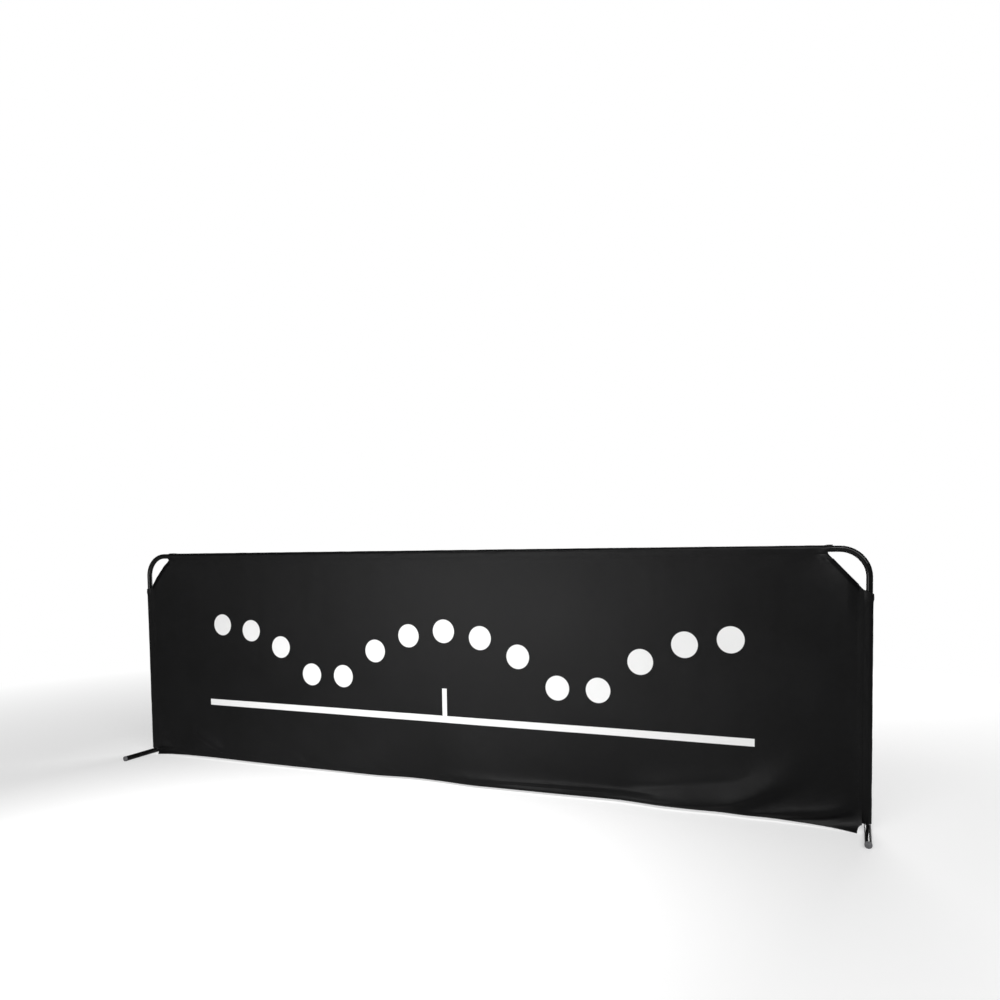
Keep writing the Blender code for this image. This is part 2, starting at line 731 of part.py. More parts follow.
def make_bindings(frame):
    """Tape folded over each slanting edge, mitred where it meets the seams of the sleeves."""
    start_z = RAIL_Z - SEAM_END - SEAT_GAP
    end_x = LEG_X - SEAM_END - SEAT_GAP
    edge = Vector((CORNER_CUT_WIDTH, 0, -CORNER_CUT_HEIGHT))
    inwards = Vector((-CORNER_CUT_HEIGHT, 0, -CORNER_CUT_WIDTH)).normalized()
    corner = Vector((CORNER_X, 0, PANEL_TOP_Z))
    for name, side in SIDES:
        bm = bmesh.new()
        mirror = Vector((side, 1, 1))
        ends = [[], []]
        for distance, y in binding_outline():
            base = corner + inwards * distance + Vector((0, y, 0))
            first = base + edge * ((start_z - base.z) / edge.z)
            last = base + edge * ((end_x - base.x) / edge.x)
            for ring, point in zip(ends, (first, last)):
                ring.append(bm.verts.new(point * mirror))
        skin(bm, *ends)
        for ring in ends:
            bm.faces.new(ring)
        bmesh.ops.recalc_face_normals(bm, faces=bm.faces)
        add_piece(f"{name}_corner_binding", bm, CLOTH_BLACK, frame)


def build():
    clear_scene()
    frame = add_empty("frame_origin")
    floor_cut = make_floor_cut(frame)
    make_top_rail(frame)
    for name, side in SIDES:
        joiner_hole = make_leg(name, side, frame)
        make_rail_joint(name, side, frame, joiner_hole)
        make_bush(name, side, frame)
        make_retaining_pin(name, side, frame)
        pivot = add_empty(f"{name}_foot_pivot", (side * LEG_X, 0, 0))
        make_foot(name, side, pivot, floor_cut)
    make_sleeves(frame)
    make_panel(frame)
    make_hem(frame)
    make_bindings(frame)


build()
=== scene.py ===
"""Looks of the table tennis barrier: sewn cover, print, stitching, finishes, light and camera."""

import math

import bmesh
import bpy
from mathutils import Matrix, Vector, noise


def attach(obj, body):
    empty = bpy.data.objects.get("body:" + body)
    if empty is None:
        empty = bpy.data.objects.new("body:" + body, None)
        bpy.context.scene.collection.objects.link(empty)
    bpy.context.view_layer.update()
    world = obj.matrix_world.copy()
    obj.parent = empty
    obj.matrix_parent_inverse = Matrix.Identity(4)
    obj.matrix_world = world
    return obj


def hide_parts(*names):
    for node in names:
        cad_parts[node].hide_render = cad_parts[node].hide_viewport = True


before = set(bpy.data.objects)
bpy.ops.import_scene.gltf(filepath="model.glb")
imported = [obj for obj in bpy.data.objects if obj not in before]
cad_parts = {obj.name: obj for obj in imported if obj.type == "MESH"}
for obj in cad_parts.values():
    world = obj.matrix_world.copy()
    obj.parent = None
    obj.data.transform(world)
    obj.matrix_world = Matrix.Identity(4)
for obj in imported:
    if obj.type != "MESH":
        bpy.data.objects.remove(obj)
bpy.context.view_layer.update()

BODY = "frame_and_cover"
LEFT, RIGHT = -1, 1
SIDES = (("left", LEFT), ("right", RIGHT))

# Places that the solids give
LEG_X = 1.157
RAIL_Z = 0.692
TUBE_RADIUS = 0.008
SEAM_START = 0.013
SEAM_END = 0.023
EDGE_X = LEG_X - SEAM_START
TOP_Z = RAIL_Z - SEAM_START
CORNER_CUTS = {LEFT: (0.0864, 0.0978), RIGHT: (0.0799, 0.0864)}
SLEEVE_BOTTOM_Z = 0.0175
HEM_FLOOR_GAP = 0.0072
HEM_HEIGHT = 0.0215
FREE_LENGTH = 0.240
FREE_HEIGHT = 0.045
FREE_DROP = 0.0057
FREE_INNER_X = EDGE_X - FREE_LENGTH
FREE_LEAST_HEIGHT = 0.010
FREE_LEAN_SHARE = 0.30
FREE_CURL_POWER = 3.5
FREE_BLEND_START = 0.02
FREE_BLEND_LENGTH = 0.08
NOTCHES = {LEFT: 0.021, RIGHT: 0.011}
CLOTH = 0.0005
PANEL_MIDDLE_Y = -0.0095

# The hem's sway: (place, sway, reach), as shares of the half length, of HEM_SWAY and of the height
HEM_SWAY = 0.040
HEM_SWAY_POWER = 1.5
HEM_SWAY_SHARES = (
    (-1.00, 0.43, 0.068),
    (-0.94, 0.14, 0.070),
    (-0.84, 0.07, 0.12),
    (-0.72, 0.06, 0.15),
    (-0.61, 0.13, 0.16),
    (-0.40, 0.07, 0.18),
    (-0.21, 0.04, 0.22),
    (-0.11, -0.26, 0.34),
    (-0.02, -0.20, 0.36),
    (0.07, 0.02, 0.36),
    (0.15, -0.04, 0.36),
    (0.31, -0.15, 0.38),
    (0.46, -0.30, 0.36),
    (0.61, -0.14, 0.26),
    (0.75, -0.10, 0.12),
    (0.87, 0.11, 0.085),
    (0.94, 0.34, 0.075),
    (1.00, 0.79, 0.068),
)

# Long folds: depth as a share of FOLD_DEPTH, upper and lower reach, then (place, height) points.
# Places are shares of the half length, and reaches and heights are shares of the cover's height.
FOLD_DEPTH = 0.009
FOLD_LINE_SHARES = (
    (
        1.25, 0.080, 0.034,
        (0.45, 0.024), (0.54, 0.024), (0.61, 0.027), (0.665, 0.035), (0.717, 0.048),
        (0.770, 0.082), (0.822, 0.125), (0.874, 0.172), (0.927, 0.214),
    ),
    (
        0.95, 0.042, 0.020,
        (0.69, 0.012), (0.74, 0.014), (0.79, 0.020), (0.83, 0.029), (0.88, 0.038),
        (0.93, 0.050), (0.98, 0.073), (1.02, 0.095),
    ),
    (0.30, 0.040, 0.020, (-0.86, 0.140), (-0.81, 0.103), (-0.78, 0.077), (-0.73, 0.050)),
    (0.30, 0.030, 0.018, (-1.02, 0.050), (-0.95, 0.036), (-0.88, 0.020)),
    (0.25, 0.025, 0.016, (-0.06, 0.038), (0.15, 0.040), (0.30, 0.042), (0.50, 0.034)),
)
FOLD_END_SHARE = 0.25
SIDE_HOLD = 0.035

# Sharper creases in metres: height, half width above and below, then (x, z) points along the crease
CREASES = (
    (
        0.0034, 0.028, 0.007,
        (0.52, 0.014), (0.64, 0.017), (0.72, 0.021), (0.80, 0.029), (0.86, 0.048),
        (0.91, 0.072), (0.95, 0.095), (0.99, 0.120),
    ),
    (
        -0.0016, 0.012, 0.009,
        (0.50, 0.050), (0.62, 0.056), (0.717, 0.071), (0.78, 0.083), (0.84, 0.093),
        (0.88, 0.115), (0.92, 0.15),
    ),
    (
        0.0018, 0.010, 0.005,
        (0.80, 0.010), (0.86, 0.012), (0.90, 0.017), (0.96, 0.028), (1.02, 0.036),
        (1.08, 0.046), (1.13, 0.064),
    ),
    (
        0.0016, 0.006, 0.004,
        (0.08, 0.026), (0.22, 0.030), (0.34, 0.034), (0.45, 0.036), (0.56, 0.036), (0.68, 0.038),
    ),
    (
        -0.0016, 0.003, 0.004,
        (0.08, 0.019), (0.20, 0.022), (0.32, 0.024), (0.42, 0.025), (0.50, 0.026), (0.57, 0.025),
    ),
    (
        0.0016, 0.005, 0.004,
        (0.06, 0.0115), (0.22, 0.012), (0.34, 0.0125), (0.46, 0.012), (0.60, 0.013),
        (0.74, 0.013), (0.88, 0.012),
    ),
    (
        -0.0031, 0.008, 0.005,
        (0.84, 0.005), (0.90, 0.007), (0.94, 0.010), (1.00, 0.014), (1.06, 0.020),
        (1.11, 0.032), (1.143, 0.044),
    ),
    (
        -0.0009, 0.007, 0.006,
        (-0.955, 0.060), (-0.935, 0.052), (-0.905, 0.041), (-0.875, 0.031), (-0.845, 0.022),
    ),
    (
        0.0006, 0.012, 0.007,
        (-0.91, 0.062), (-0.885, 0.054), (-0.862, 0.046), (-0.835, 0.038), (-0.80, 0.030),
    ),
    (-0.0034, 0.008, 0.005, (-1.160, 0.020), (-1.11, 0.015), (-1.07, 0.015), (-1.00, 0.018)),
    (-0.0012, 0.014, 0.014, (-1.13, 0.080), (-1.105, 0.062), (-1.08, 0.048), (-1.05, 0.036)),
)
CREASE_END_SHARE = 0.3

# Uneven relief: height in metres, waves per metre (u along x, u along z, v along z), and a seed
WAVES = {
    "broad": (0.0016, 2.2, 0, 3.4, 0.3),
    "middling": (0.0007, 6.5, 0, 4.5, 3.1),
    "upright tension": (0.00045, 24, 0, 2.5, 5.7),
    "above the hem": (0.0010, 12, 9, 7, 8.9),
    "along the top seam": (0.0005, 55, 0, 0, 1.7),
    "along a side seam": (0.0005, 0, 0, 55, 2.9),
    "along the hem": (0.0009, 38, 30, 16, 4.1),
}
STILL_MARGIN = 0.05
SEAM_PUCKER_REACH = 0.010
TENSION_REACH = 0.16
TENSION_LEAST_SHARE = 0.35
ABOVE_HEM = (0.05, 0.045)
ALONG_HEM = (0.022, 0.014)

# Slanted edges: how far the cloth comes forward there, and how far inside the edge that reaches
CORNER_SLACK = {LEFT: (0.0035, 0.022), RIGHT: (0.0120, 0.034)}
CORNER_ZONE = 0.15
CORNER_TAPER = 0.35
CORNER_OVERRUN = 0.15
SEAM_HOLD_START = 0.0085
SEAM_HOLD_SIDE = 0.028
SEAM_HOLD_TOP = 0.014
RIGHT_SLACK_START = 0.3
RIGHT_SLACK_LENGTH = 0.9
TAPE_PUCKER = 0.0006
TAPE_PUCKER_WAVES = 9
TAPE_PUCKER_REACH = 0.016

# One pucker runs from the top seam beside the right slanted edge
PUCKER_HEIGHT = 0.0026
PUCKER_X = 1.046
PUCKER_TOP_Z = 0.6766
PUCKER_SLANT = 0.65
PUCKER_HALF_WIDTH = 0.009
PUCKER_MIDDLE_Z = 0.672
PUCKER_HALF_LENGTH = 0.013
PUCKER_SEAM_START = -0.002
PUCKER_SEAM_LENGTH = 0.005

TURNED_EDGE_WIDTH = 0.0105
TURNED_EDGE_STEP = 0.0012
TURNED_EDGE_HEIGHT = 0.0004


def smooth(share):
    share = min(1, max(0, share))
    return share * share * (3 - 2 * share)


def along_table(table, place):
    """A table's other values, read smoothly between the rows' places."""
    place = min(table[-1][0], max(table[0][0], place))
    k = next(k for k in range(len(table) - 1) if place <= table[k + 1][0])
    rows = [table[max(0, min(len(table) - 1, k + step))] for step in (-1, 0, 1, 2)]
    width = rows[2][0] - rows[1][0]
    share = (place - rows[1][0]) / width
    values = []
    for before, start, end, after in list(zip(*rows))[1:]:
        leaving = (end - before) / (rows[2][0] - rows[0][0]) * width
        arriving = (after - start) / (rows[3][0] - rows[1][0]) * width
        turn = leaving + arriving - 2 * (end - start)
        bend = 3 * (end - start) - 2 * leaving - arriving + share * turn
        values.append(start + share * (leaving + share * bend))
    return values


def bell(distance, reach):
    """1 at no distance, and fading to 0 well beyond the reach."""
    return math.exp(-((distance / reach) ** 2))


def relief(rows, place, height, end_share):
    """What a table of folds or creases adds up to at a place and height."""
    total = 0
    for size, above, below, *line in rows:
        first, last = line[0][0], line[-1][0]
        if not first < place < last:
            continue
        away = height - along_table(line, place)[0]
        ends = min(place - first, last - place) / (last - first) / end_share
        total += size * smooth(ends) * bell(away, above if away > 0 else below)
    return total


def free_share(x):
    """0 up to where a free lower corner starts, and 1 at the cover's end."""
    return max(0, (abs(x) - FREE_INNER_X) / FREE_LENGTH)


def hem_bottom_z(x):
    return HEM_FLOOR_GAP - FREE_DROP * free_share(x) ** 2


def wave(x, z, seed):
    return noise.noise(Vector((x, seed, z)))


def waves(name, x, z):
    height, u_x, u_z, v_z, seed = WAVES[name]
    return height * wave(x * u_x + z * u_z, z * v_z, seed)


def corner_reach(x, z):
    """How far inside a slanted upper edge a place is, and how far along that edge as a share."""
    width, height = CORNER_CUTS[RIGHT if x > 0 else LEFT]
    length = math.hypot(width, height)
    a, b = abs(x) - EDGE_X + width, TOP_Z - z
    return (b * width - a * height) / length, (a * width + b * height) / length**2


def corner_out(x, z, to_side, to_top):
    """The cloth comes forward towards a slanted edge, and puckers beside its tape."""
    inside, share = corner_reach(x, z)
    if inside >= CORNER_ZONE:
        return 0
    side = RIGHT if x > 0 else LEFT
    forward, reach = CORNER_SLACK[side]
    along = smooth(min(share + CORNER_OVERRUN, 1 + CORNER_OVERRUN - share) / CORNER_TAPER)
    slack = smooth((share + RIGHT_SLACK_START) / RIGHT_SLACK_LENGTH) if side == RIGHT else along
    slack *= smooth((to_side - SEAM_HOLD_START) / SEAM_HOLD_SIDE)
    slack *= smooth((to_top - SEAM_HOLD_START) / SEAM_HOLD_TOP)
    out = forward * math.exp(-max(0, inside) / reach) * slack
    if side == RIGHT:
        away = x - PUCKER_X - (PUCKER_TOP_Z - z) * PUCKER_SLANT
        size = bell(away, PUCKER_HALF_WIDTH) * bell(z - PUCKER_MIDDLE_Z, PUCKER_HALF_LENGTH)
        out += PUCKER_HEIGHT * size * smooth((to_top - PUCKER_SEAM_START) / PUCKER_SEAM_LENGTH)
    tape = wave(share * TAPE_PUCKER_WAVES, 0, 4.4 + (x > 0))
    return out + TAPE_PUCKER * tape * math.exp(-max(0, inside) / TAPE_PUCKER_REACH) * along


def details_out(x, z):
    """Finer relief: creases, uneven tension, slanted edges drawn forward, puckers at seams."""
    to_side, to_top = EDGE_X - abs(x), TOP_Z - z
    to_hem = z - hem_bottom_z(x)
    held = smooth(to_side / STILL_MARGIN) * smooth(to_top / STILL_MARGIN)
    out = waves("broad", x, z) * held + waves("middling", x, z) * held
    out += relief(CREASES, x, z, CREASE_END_SHARE)
    below_top = TENSION_LEAST_SHARE + (1 - TENSION_LEAST_SHARE) * math.exp(-to_top / TENSION_REACH)
    out += waves("upright tension", x, z) * held * below_top
    out += waves("above the hem", x, z) * bell(to_hem - ABOVE_HEM[0], ABOVE_HEM[1]) * held
    out += waves("along the top seam", x, z) * math.exp(-to_top / SEAM_PUCKER_REACH)
    out += waves("along a side seam", x, z) * math.exp(-to_side / SEAM_PUCKER_REACH)
    out += waves("along the hem", x, z) * bell(to_hem - ALONG_HEM[0], ALONG_HEM[1])
    out += corner_out(x, z, to_side, to_top)
    # The turned edge along the sleeves is a layer thicker
    edge = min(to_side, to_top)
    return out + TURNED_EDGE_HEIGHT * smooth((TURNED_EDGE_WIDTH - edge) / TURNED_EDGE_STEP)


def cover_y(x, z):
    """The middle of the cover's cloth."""
    sway, rise = along_table(HEM_SWAY_SHARES, x / EDGE_X)
    bottom = hem_bottom_z(x)
    hanging = max(0, 1 - (z - bottom) / (rise * TOP_Z)) ** HEM_SWAY_POWER
    crease_z = HEM_FLOOR_GAP + FREE_HEIGHT * free_share(x)
    below_crease = max(0, 1 - max(0, z - bottom) / max(FREE_LEAST_HEIGHT, crease_z - bottom))
    curled = FREE_LEAN_SHARE * below_crease + (1 - FREE_LEAN_SHARE) * below_crease**FREE_CURL_POWER
    free = smooth((abs(x) - FREE_INNER_X - FREE_BLEND_START) / FREE_BLEND_LENGTH)
    swung = HEM_SWAY * sway * (hanging + (curled - hanging) * free)
    held = smooth((EDGE_X - abs(x)) / SIDE_HOLD)
    folds = FOLD_DEPTH * relief(FOLD_LINE_SHARES, x / EDGE_X, z / TOP_Z, FOLD_END_SHARE)
    return PANEL_MIDDLE_Y - swung - folds * held - details_out(x, z)


def cover_front(x, z):
    """A place on the cover and the direction that its front faces."""
    step = 0.0008
    dx = (cover_y(x + step, z) - cover_y(x - step, z)) / (2 * step)
    dz = (cover_y(x, z + step) - cover_y(x, z - step)) / (2 * step)
    return Vector((x, cover_y(x, z), z)), Vector((dx, -1, dz)).normalized()


# Materials


def new_material(name, colour, roughness, metallic=0.0, specular=0.5, **sockets):
    material = bpy.data.materials.new(name)
    material.use_nodes = True
    tree = material.node_tree
    shader = tree.nodes["Principled BSDF"]
    shader.inputs["Base Color"].default_value = (*colour, 1)
    shader.inputs["Roughness"].default_value = roughness
    shader.inputs["Metallic"].default_value = metallic
    shader.inputs["Specular IOR Level"].default_value = specular
    for socket, value in sockets.items():
        shader.inputs[socket.replace("_", " ")].default_value = value
    return material, tree, shader


def add_node(tree, kind, inputs=(), **settings):
    node = tree.nodes.new(kind)
    for name, value in settings.items():
        setattr(node, name, value)
    for name, value in dict(inputs).items():
        if isinstance(value, bpy.types.NodeSocket):
            tree.links.new(value, node.inputs[name])
        else:
            node.inputs[name].default_value = value
    return node


def math_node(tree, operation, a, b=0.0):
    return add_node(tree, "ShaderNodeMath", {0: a, 1: b}, operation=operation).outputs[0]


def noise_value(tree, vector, scale, detail=2.0, roughness=0.5):
    inputs = {"Vector": vector, "Scale": scale, "Detail": detail, "Roughness": roughness}
    return add_node(tree, "ShaderNodeTexNoise", inputs).outputs["Fac"]


def map_range(tree, value, low, high, to_low=0.0, to_high=1.0):
    inputs = {"Value": value, "From Min": low, "From Max": high}
    inputs |= {"To Min": to_low, "To Max": to_high}
    return add_node(tree, "ShaderNodeMapRange", inputs).outputs["Result"]


def mix_colour(tree, factor, a, b):
    node = add_node(tree, "ShaderNodeMix", data_type="RGBA")
    for k, value in ((0, factor), (6, a), (7, b)):
        if isinstance(value, bpy.types.NodeSocket):
            tree.links.new(value, node.inputs[k])
        else:
            node.inputs[k].default_value = value if k == 0 else (*value, 1)
    return node.outputs[2]


def add_bump(tree, shader, layers):
    """Chains bumps: (height, strength, distance in metres) each."""
    normal = None
    for height, strength, distance in layers:
        inputs = {"Height": height, "Strength": strength, "Distance": distance}
        if normal:
            inputs["Normal"] = normal
        normal = add_node(tree, "ShaderNodeBump", inputs).outputs["Normal"]
    tree.links.new(normal, shader.inputs["Normal"])


def weave_heights(tree, uv, pitch):
    """The height of a plain weave, from two crossed thread waves."""
    split = add_node(tree, "ShaderNodeSeparateXYZ", {0: uv})
    turns = math.pi / pitch
    across = math_node(tree, "SINE", math_node(tree, "MULTIPLY", split.outputs[0], turns))
    down = math_node(tree, "SINE", math_node(tree, "MULTIPLY", split.outputs[1], turns))
    over = math_node(tree, "MULTIPLY", across, down)
    warp = math_node(tree, "ABSOLUTE", across)
    weft = math_node(tree, "ABSOLUTE", down)
    crossed = math_node(tree, "MULTIPLY", warp, weft)
    return math_node(tree, "ADD", math_node(tree, "MULTIPLY", over, 0.5), crossed)


# The print: a row of balls that bounce over the edge of a table with its net
BALL_PITCH = 0.1186
BALL_RADIUS = 0.0350
BALLS_HALF_LENGTH = 0.88
BOUNCE_LENGTH = 0.8302
BOUNCE_RISE = 0.205
BOUNCE_LOW_Z = 0.2560
TABLE_HALF_LENGTH = 0.890
TABLE_Z = 0.1980
TABLE_HALF_HEIGHT = 0.0100
NET_HALF_WIDTH = 0.0075
NET_Z = 0.2400
NET_HALF_HEIGHT = 0.0500
INK_EDGE = 0.0006


def ball_print(tree, uv):
    """Where the white print lies."""
    split = add_node(tree, "ShaderNodeSeparateXYZ", {0: uv})
    x, z = split.outputs[0], split.outputs[1]

    def within(value, middle, half):
        away = math_node(tree, "ABSOLUTE", math_node(tree, "SUBTRACT", value, middle))
        return map_range(tree, away, half - INK_EDGE, half + INK_EDGE, 1.0, 0.0)

    def both(a, b):
        return math_node(tree, "MULTIPLY", a, b)

    def either(a, b):
        return math_node(tree, "MAXIMUM", a, b)

    cell = math_node(tree, "ROUND", math_node(tree, "DIVIDE", x, BALL_PITCH))
    cell_x = math_node(tree, "MULTIPLY", cell, BALL_PITCH)
    turn = math_node(tree, "ADD", math_node(tree, "DIVIDE", cell_x, BOUNCE_LENGTH), 0.5)
    from_middle = math_node(tree, "SUBTRACT", math_node(tree, "FRACT", turn), 0.5)
    along = math_node(tree, "ABSOLUTE", math_node(tree, "MULTIPLY", from_middle, 2.0))
    drop = math_node(tree, "MULTIPLY", math_node(tree, "POWER", along, 2.0), -BOUNCE_RISE)
    centre_z = math_node(tree, "ADD", drop, BOUNCE_LOW_Z + BOUNCE_RISE)
    dx = math_node(tree, "SUBTRACT", x, cell_x)
    dz = math_node(tree, "SUBTRACT", z, centre_z)
    away = math_node(tree, "SQRT", math_node(tree, "ADD", both(dx, dx), both(dz, dz)))
    discs = both(within(away, 0.0, BALL_RADIUS), within(x, 0.0, BALLS_HALF_LENGTH))
    table = both(within(x, 0.0, TABLE_HALF_LENGTH), within(z, TABLE_Z, TABLE_HALF_HEIGHT))
    net = both(within(x, 0.0, NET_HALF_WIDTH), within(z, NET_Z, NET_HALF_HEIGHT))
    return either(discs, either(table, net))


THREAD_PITCH = 0.00055
INK_DARK, INK_PALE = (0.74, 0.74, 0.735), (0.86, 0.86, 0.855)


def cloth_material(name, colour, printed=False, shine=0.17):
    """Plain-woven black polyester with a soft sheen, a little paler where it is rubbed, and painted
    shade between the threads.
    """
    material, tree, shader = new_material(
        name, colour, 0.36, specular=shine, Sheen_Weight=0.002, Sheen_Roughness=0.45
    )
    uv = add_node(tree, "ShaderNodeUVMap", uv_map="cloth").outputs["UV"]
    weave = weave_heights(tree, uv, THREAD_PITCH)
    slow = noise_value(tree, uv, 7.0, 3.0)
    fibre = noise_value(tree, uv, 900.0, 2.0)
    paler = tuple(c * 1.55 for c in colour)
    # Painted shade between the threads: a darker copy of the colour, mixed in where the weave is
    # low
    shade_between_threads = tuple(c * 0.35 for c in colour)
    black = mix_colour(tree, map_range(tree, slow, 0.35, 0.70), colour, paler)
    black = mix_colour(tree, map_range(tree, weave, 0.2, -0.4, 0.0, 0.45), black, shade_between_threads)
    rough = map_range(tree, slow, 0.3, 0.7, 0.34, 0.38)
    if printed:
        ink = ball_print(tree, uv)
        grain = map_range(tree, fibre, 0.2, 0.8, 0.92, 1.0)
        white = mix_colour(tree, grain, INK_DARK, INK_PALE)
        black = mix_colour(tree, ink, black, white)
        rough = math_node(tree, "ADD", rough, math_node(tree, "MULTIPLY", ink, -0.12))
    tree.links.new(black, shader.inputs["Base Color"])
    tree.links.new(rough, shader.inputs["Roughness"])
    soft = noise_value(tree, uv, 34.0, 2.0)
    add_bump(tree, shader, ((weave, 0.30, 0.00012), (fibre, 0.20, 0.0001), (soft, 0.18, 0.0022)))
    return material


def thread_material():
    dark, pale = (0.003, 0.003, 0.003), (0.007, 0.007, 0.007)
    material, tree, shader = new_material("sewing_thread", dark, 0.48, specular=0.20)
    place = add_node(tree, "ShaderNodeTexCoord").outputs["Object"]
    inputs = {"Vector": place, "Scale": 900.0, "Distortion": 1.0}
    twist = add_node(tree, "ShaderNodeTexWave", inputs, bands_direction="DIAGONAL").outputs["Fac"]
    # Painted shade: the thread's colour is darker in the grooves of its twist, where the bump is
    # low
    tree.links.new(mix_colour(tree, twist, dark, pale), shader.inputs["Base Color"])
    add_bump(tree, shader, ((twist, 0.4, 0.0001),))
    return material


def coated_steel():
    """Semi-gloss black powder coat: fine orange peel, faint scuffs and dust."""
    clean, dusty = (0.005, 0.005, 0.005), (0.014, 0.014, 0.014)
    material, tree, shader = new_material("black_powder_coat", clean, 0.14, specular=0.21)
    place = add_node(tree, "ShaderNodeTexCoord").outputs["Object"]
    peel = noise_value(tree, place, 520.0, 2.0)
    scuff = noise_value(tree, place, 60.0, 4.0, 0.62)
    dust = map_range(tree, scuff, 0.52, 0.78)
    tree.links.new(mix_colour(tree, dust, clean, dusty), shader.inputs["Base Color"])
    tree.links.new(map_range(tree, scuff, 0.3, 0.75, 0.10, 0.18), shader.inputs["Roughness"])
    add_bump(tree, shader, ((peel, 0.12, 0.00020),))
    return material


def bare_steel():
    """Zinc-plated steel, drawn along its length."""
    dull, bright = (0.40, 0.40, 0.41), (0.55, 0.55, 0.55)
    material, tree, shader = new_material("zinc_plated_steel", dull, 0.36, metallic=1.0)
    place = add_node(tree, "ShaderNodeTexCoord").outputs["Object"]
    drawn = {"Vector": place, "Scale": (40.0, 900.0, 900.0)}
    lines = noise_value(tree, add_node(tree, "ShaderNodeMapping", drawn).outputs[0], 1.0, 3.0)
    spots = noise_value(tree, place, 240.0, 3.0)
    tree.links.new(mix_colour(tree, spots, dull, bright), shader.inputs["Base Color"])
    tree.links.new(map_range(tree, lines, 0.2, 0.8, 0.28, 0.46), shader.inputs["Roughness"])
    add_bump(tree, shader, ((lines, 0.12, 0.0001),))
    return material


def moulded_plastic(name, dark, pale, roughness):
    """Moulded plastic with a fine spark-eroded texture, scuffed paler on its high spots."""
    material, tree, shader = new_material(name, dark, roughness, specular=0.5)
    place = add_node(tree, "ShaderNodeTexCoord").outputs["Object"]
    grain = noise_value(tree, place, 1600.0, 2.0)
    rub = noise_value(tree, place, 190.0, 4.0, 0.6)
    colour = mix_colour(tree, map_range(tree, rub, 0.4, 0.7), dark, pale)
    rough = map_range(tree, rub, 0.3, 0.7, roughness - 0.06, roughness + 0.08)
    tree.links.new(colour, shader.inputs["Base Color"])
    tree.links.new(rough, shader.inputs["Roughness"])
    add_bump(tree, shader, ((grain, 0.25, 0.00012),))
    return material


BLACK = (0.0024, 0.0024, 0.0026)
PRINTED = cloth_material("printed_cover_cloth", BLACK, printed=True)
PLAIN = cloth_material("plain_cover_cloth", BLACK)
TAPE = cloth_material("binding_tape", (0.0020, 0.0020, 0.0021), shine=0.05)
THREAD = thread_material()
COATED = coated_steel()
STEEL = bare_steel()
PLUG = moulded_plastic("grey_plug_plastic", (0.10, 0.10, 0.105), (0.17, 0.17, 0.175), 0.50)
NYLON = moulded_plastic("natural_nylon", (0.60, 0.60, 0.57), (0.68, 0.68, 0.66), 0.42)

NODE_FINISHES = (
    (COATED, "leg_tube", "rail_tube", "foot_bar"),
    (STEEL, "joiner", "_pin", "spigot"),
    (PLUG, "plug"),
    (NYLON, "bush"),
)
for node_name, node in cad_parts.items():
    for finish, *words in NODE_FINISHES:
        if any(word in node_name for word in words):
            node.data.materials.clear()
            node.data.materials.append(finish)
            break


# Sheets of cloth


def start_sheet():
    bm = bmesh.new()
    bm.verts.layers.float_vector.new("facing")
    bm.loops.layers.uv.new("cloth")
    return bm


def grid_sheet(bm, columns):
    """Fills in quads. Each column is a list of (place, facing, uv), in the same order in all."""
    facing = bm.verts.layers.float_vector["facing"]
    uv_layer = bm.loops.layers.uv["cloth"]
    made = []
    for column in columns:
        verts = []
        for place, direction, uv in column:
            vert = bm.verts.new(place)
            vert[facing] = direction
            verts.append((vert, uv))
        made.append(verts)
    for left, right in zip(made, made[1:]):
        for k in range(len(left) - 1):
            corners = (left[k], left[k + 1], right[k + 1], right[k])
            face = bm.faces.new([vert for vert, _ in corners])
            for loop, (_, uv) in zip(face.loops, corners):
                loop[uv_layer].uv = uv


def finish_sheet(name, bm, thickness, front, back):
    """Gives a sheet its thickness and its rims, and makes it an object."""
    facing = bm.verts.layers.float_vector["facing"]
    uv_layer = bm.loops.layers.uv["cloth"]
    out = bmesh.new()
    out_uv = out.loops.layers.uv.new("cloth")
    bm.verts.index_update()
    sides = []
    for offset in (thickness / 2, -thickness / 2):
        places = [v.co + Vector(v[facing]).normalized() * offset for v in bm.verts]
        sides.append([out.verts.new(place) for place in places])
    for face in bm.faces:
        turned = face.normal.dot(Vector(face.verts[0][facing])) < 0
        corners = [(loop.vert.index, loop[uv_layer].uv.copy()) for loop in face.loops]
        if turned:
            corners.reverse()
        for k, order in enumerate((corners, corners[::-1])):
            made = out.faces.new([sides[k][i] for i, _ in order])
            made.material_index = k
            for loop, (_, uv) in zip(made.loops, order):
                loop[out_uv].uv = uv
    for edge in bm.edges:
        if len(edge.link_loops) != 1:
            continue
        loop = edge.link_loops[0]
        a, b = loop.vert.index, loop.link_loop_next.vert.index
        uvs = (loop[uv_layer].uv.copy(), loop.link_loop_next[uv_layer].uv.copy())
        made = out.faces.new((sides[0][b], sides[0][a], sides[1][a], sides[1][b]))
        made.material_index = 1
        for corner, uv in zip(made.loops, (uvs[1], uvs[0], uvs[0], uvs[1])):
            corner[out_uv].uv = uv
    bmesh.ops.recalc_face_normals(out, faces=out.faces)
    bm.free()
    return add_mesh(name, out, (front, back))


def add_mesh(name, bm, materials, smooth_angle=50):
    mesh = bpy.data.meshes.new(name)
    bm.to_mesh(mesh)
    bm.free()
    for material in materials:
        mesh.materials.append(material)
    mesh.shade_smooth()
    mesh.set_sharp_from_angle(angle=math.radians(smooth_angle))
    obj = bpy.data.objects.new(name, mesh)
    bpy.context.scene.collection.objects.link(obj)
    return obj


HEM_LAYER_GAP = 0.0012
HEM_FOLD_STEPS = 4
HEM_FOLD_UV_STEP = 0.0006
HEM_BACK_UV_START = 0.003
HEM_BACK_ROWS = 9
COVER_COLUMNS = 330
COVER_SPREAD = 1.10

# Rows of the cover from its lower edge up: how many there are to each share of its height
COVER_ROW_SHARES = ((0.0, 0), (0.09, 34), (0.28, 22), (0.86, 24), (1.0, 20))


